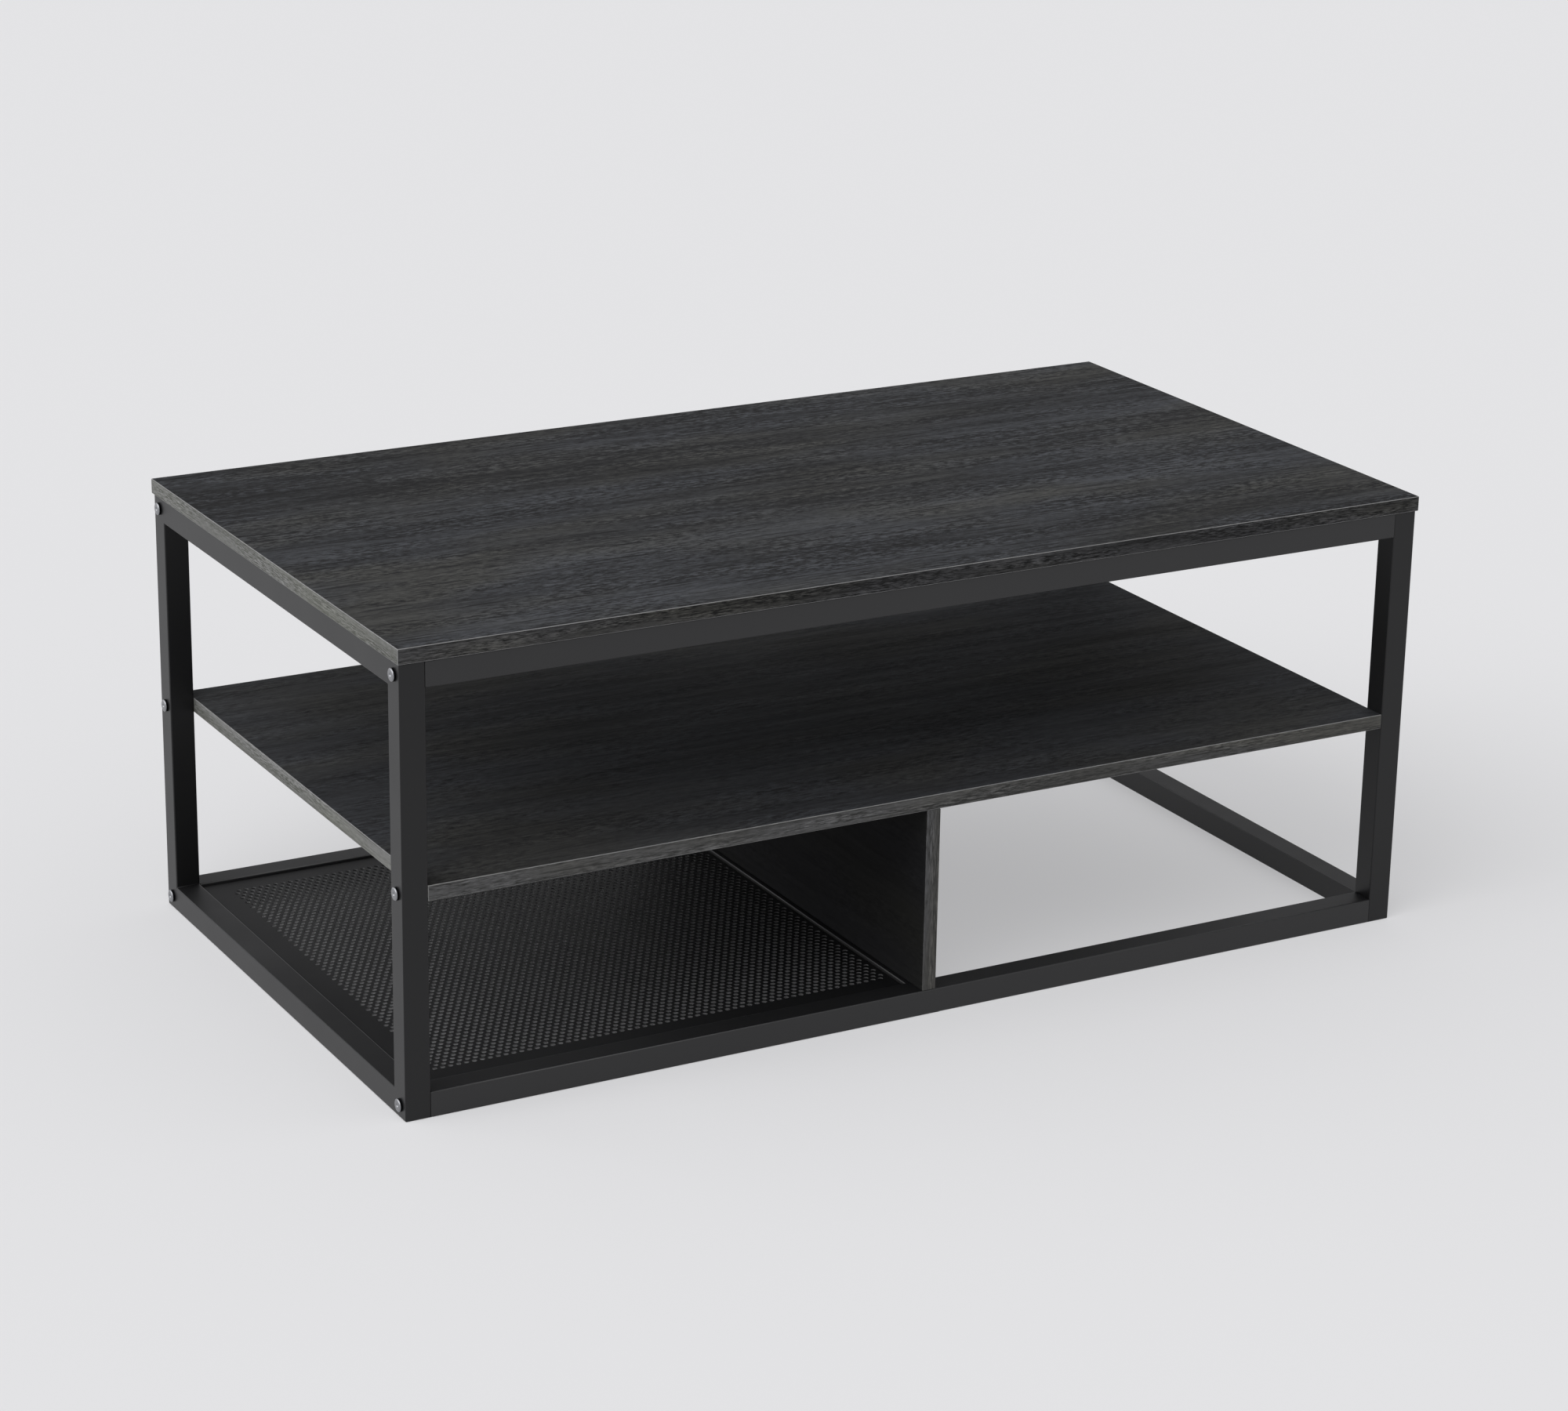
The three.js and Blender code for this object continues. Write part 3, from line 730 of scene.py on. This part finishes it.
def turned(points):
    """A closed solid turned round the X axis from (x, radius) points, its ends on the axis."""
    shape = bmesh.new()
    verts = [shape.verts.new((x, 0, radius)) for x, radius in points]
    edges = [shape.edges.new(pair) for pair in zip(verts, verts[1:])]
    bmesh.ops.spin(shape, geom=verts + edges, cent=(0, 0, 0), axis=(1, 0, 0), angle=2 * pi,
                   steps=TURN_STEPS, use_merge=True)
    bmesh.ops.remove_doubles(shape, verts=shape.verts[:], dist=TURNED_WELD)
    bmesh.ops.recalc_face_normals(shape, faces=shape.faces[:])
    return shape


print("a bolt's head is", HEAD_DIAMETER / MM, "mm wide and", HEAD_HEIGHT / MM, "mm high")

# %% [markdown]
# The head is low, with an upright wall, a rounded shoulder and a flat face round the socket. The socket
# is a six-sided bar cut out of it, so that its corners stay sharp. The wall gets the darker zinc, a
# painted shade that draws the dark rim beside the head.

# %% One bolt
def button_bolt(length):
    """A bolt along +X whose head seats at the origin, with its face at -X."""
    radius, shank = HEAD_DIAMETER / 2, SHANK_DIAMETER / 2
    tip = [(length, 0), (length, shank - TIP_CHAMFER), (length - TIP_CHAMFER, shank), (0, shank)]
    seat = [(0, radius - SEAT_CHAMFER), (-SEAT_CHAMFER, radius)]
    rise, inset = HEAD_HEIGHT - WALL_HEIGHT, radius - LAND_RADIUS
    turns = [pi / 2 * i / SHOULDER_STEPS for i in range(SHOULDER_STEPS + 1)]
    shoulder = [(-WALL_HEIGHT - rise * sin(turn), LAND_RADIUS + inset * cos(turn)) for turn in turns]
    mouth, bottom = (-HEAD_HEIGHT - SOCKET_OVERRUN, 0, 0), (-HEAD_HEIGHT + SOCKET_DEPTH, 0, 0)
    socket = bar(0, SOCKET_WIDTH / sqrt(3), mouth, bottom, 6)
    shape = cut(turned([*tip, *seat, *shoulder, (-HEAD_HEIGHT, 0)]), socket)
    for face in shape.faces:
        middle = face.calc_center_median()
        face.smooth = abs(face.normal.x) < END_ON and middle.x < 0
        # The wall gets the second, darker zinc: painted shade.
        face.material_index = int(-WALL_HEIGHT < middle.x < 0)
    return shape


print("the flat face of a head is", 2 * LAND_RADIUS / MM, "mm wide, and its socket", SOCKET_WIDTH / MM, "mm")

# %% [markdown]
# Each bolt's length and place come from its CAD node's box. Those on the right are turned half round,
# so that every head faces outwards.

# %% The twelve bolts
for end, out in (("left", -1), ("right", 1)):
    for side in ("front", "rear"):
        for level in ("low", "shelf", "high"):
            name = f"{end}_{side}_{level}_bolt"
            low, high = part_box(name)
            seat = low.x + HEAD_HEIGHT if out < 0 else high.x - HEAD_HEIGHT
            shape = button_bolt(high.x - low.x - HEAD_HEIGHT)
            turn = Matrix.Rotation(pi, 4, "Z") if out > 0 else Matrix()
            place = Matrix.Translation((seat, (low.y + high.y) / 2, (low.z + high.z) / 2))
            bmesh.ops.transform(shape, matrix=place @ turn, verts=shape.verts[:])
            bolt = finished(name + "_turned", shape, [bolt_zinc, bolt_wall_painted_shade], "bolt_steel", name)
print("each bolt has", len(bolt.data.polygons), "faces")

# %% [markdown]
# ## Finishes of the pieces that stay as they are
# The fittings inside the tubes and boards are small and mostly out of sight, so they keep their CAD
# shape and only get their finish: beech for the dowels, zinc for the screws, inserts, nuts and plates.

# %% Hidden fittings
kept = [(name, item) for name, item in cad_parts.items() if not item.hide_render]
for name, item in kept:
    wooden = "dowel" in name
    item.data.materials.clear()
    item.data.materials.append(dowel_beech if wooden else hidden_zinc)
print(len(kept), "fittings keep their CAD shape")

# %% [markdown]
# ## Floor and backdrop
# The table stands on a floor that runs into a backdrop of the same pale grey. Lamps strong enough to
# make the floor that pale would bleach the black finishes, so the floor and the world glow in their own
# colour instead, and only for rays from the camera, from a reflection or through something clear.
# The floor is a wide disc, so far out that its rim lies at the horizon.

# %% Floor
BACKGROUND = "#e6e6e8"
SHADOW_RELIEF = 0.5
FLOOR_RADIUS = 60
FLOOR_SIDES = 96

floor_shape = bmesh.new()
bmesh.ops.create_circle(floor_shape, cap_ends=True, segments=FLOOR_SIDES, radius=FLOOR_RADIUS)
floor = as_object("studio_floor", floor_shape)
paint = {"Base_Color": linear(BACKGROUND), "Roughness": 0.9, "Specular_IOR_Level": 0.0}
material, tree, principled = new_material("pale_studio_floor", **paint)
floor.data.materials.append(material)
floor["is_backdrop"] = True
print("floor and backdrop are", BACKGROUND)

# %% [markdown]
# The Light Path node tells what kind of ray has hit the floor, so the glow can be given to some rays
# and kept from the light itself. It is mixed half and half with the lit surface, which keeps the
# table's shadow. Under the tray there is no glow: the floor there is seen through four thousand small
# holes, and its full shade is what makes the sheet read as black.

# %% The floor's glow
def background_rays(tree):
    """1 for rays from the camera, a reflection or a clear surface, 0 for the light itself."""
    path = add(tree, "LightPath", {})
    camera_ray, mirror_ray = path.outputs["Is Camera Ray"], path.outputs["Is Glossy Ray"]
    seen = add(tree, "Math", {0: camera_ray, 1: mirror_ray}, operation="MAXIMUM")
    return add(tree, "Math", {0: seen, 1: path.outputs["Is Transmission Ray"]}, operation="MAXIMUM")


def outside(tree, low, high):
    """0 on the floor between two corners, 1 round it."""
    place = add(tree, "SeparateXYZ", {"Vector": add(tree, "TexCoord", {}).outputs["Object"]})
    inside = 1.0
    for axis, name in enumerate("XY"):
        near = add(tree, "Math", {0: place.outputs[name], 1: low[axis]}, operation="GREATER_THAN")
        far = add(tree, "Math", {0: place.outputs[name], 1: high[axis]}, operation="LESS_THAN")
        both = add(tree, "Math", {0: near, 1: far}, operation="MULTIPLY")
        inside = add(tree, "Math", {0: both, 1: inside}, operation="MULTIPLY")
    return add(tree, "Math", {0: 1.0, 1: inside}, operation="SUBTRACT")


under_tray = span("tray_crossbar", "perforated_tray", "left_bottom_crossbar")
relief = add(tree, "Math", {0: background_rays(tree), 1: outside(tree, *under_tray)}, operation="MULTIPLY")
relief = add(tree, "Math", {0: relief, 1: SHADOW_RELIEF}, operation="MULTIPLY")
glow = add(tree, "Emission", {"Color": linear(BACKGROUND), "Strength": 1.0})
lit = add(tree, "MixShader", {"Fac": relief, 1: principled, 2: glow})
tree.links.new(lit.outputs["Shader"], tree.nodes["Material Output"].inputs["Surface"])
print("the floor glows with a share of", SHADOW_RELIEF)

# %% [markdown]
# ## Light
# A white world of 0.45 gives the soft light of a pale room, and three wide lamps shape the table: one
# high at the left, one low at the left rear that lifts the end frame, and a weak one at the front right.
# Together they give a white top a brightness of 0.93, so each colour renders about as written.
# Area lamps would do as well, but a sun is equally bright all over the table, and what each one adds
# is easy to work out.

# %% World and lamps
AMBIENT = 0.45
world = bpy.data.worlds.new("studio")
world.use_nodes = True
bpy.context.scene.world = world
tree = world.node_tree
tree.nodes.clear()
backdrop = add(tree, "Background", {"Color": linear(BACKGROUND), "Strength": 1.0})
sky = add(tree, "Background", {"Color": linear("#ffffff"), "Strength": AMBIENT})
blend = add(tree, "MixShader", {"Fac": background_rays(tree), 1: sky, 2: backdrop})
add(tree, "OutputWorld", {"Surface": blend})


def soft_sun(name, azimuth, elevation, strength, angle):
    """A wide distant lamp. Azimuth 0 shines from the front, 90 from the right."""
    lamp = bpy.data.lights.new(name, "SUN")
    lamp.energy, lamp.angle = strength, radians(angle)
    item = bpy.data.objects.new(name, lamp)
    a, e = radians(azimuth), radians(elevation)
    towards = Vector((sin(a) * cos(e), -cos(a) * cos(e), sin(e)))
    item.rotation_euler = towards.to_track_quat("Z", "Y").to_euler()
    bpy.context.scene.collection.objects.link(item)
    return strength * sin(e) / pi


# Each lamp's name, azimuth, elevation, strength and width. Angles are in degrees.
lamps = (("key", -70, 50, 1.35, 50), ("side", -115, 12, 1.5, 60), ("fill", 40, 45, 0.25, 60))
on_top = AMBIENT + sum(soft_sun(*lamp) for lamp in lamps)
print("a white top would be", round(on_top, 2), "bright")

# %% [markdown]
# ## Camera
# The table is seen from its front left and a little above, from 4 m away through a long lens, so that
# its lines stay nearly parallel. A wide lens close by would make the near corner loom.

# %% Camera
CAMERA_PLACE = (-1.8897, -3.3852, 1.5576)
CAMERA_TURN = (70.99, -0.917, -28.877)
LENS = 93.6
SENSOR_WIDTH = 36

camera = bpy.data.cameras.new("camera")
camera.sensor_width, camera.lens = SENSOR_WIDTH, LENS
eye = bpy.data.objects.new("camera", camera)
eye.location = CAMERA_PLACE
eye.rotation_euler = [radians(turn) for turn in CAMERA_TURN]
bpy.context.scene.collection.objects.link(eye)
bpy.context.scene.camera = eye
print("camera stands", round(Vector(CAMERA_PLACE).length, 2), "m from the table's middle")

# %% [markdown]
# The finished pieces have to fill the same box as the CAD model. Both boxes are written side by side.

bpy.context.scene.view_settings.view_transform = "Standard"
visual_box = [list(corner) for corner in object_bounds()]
visual_size = [round((high - low) / MM) for low, high in zip(*visual_box)]
print("the finished table's box is", visual_size, "mm")
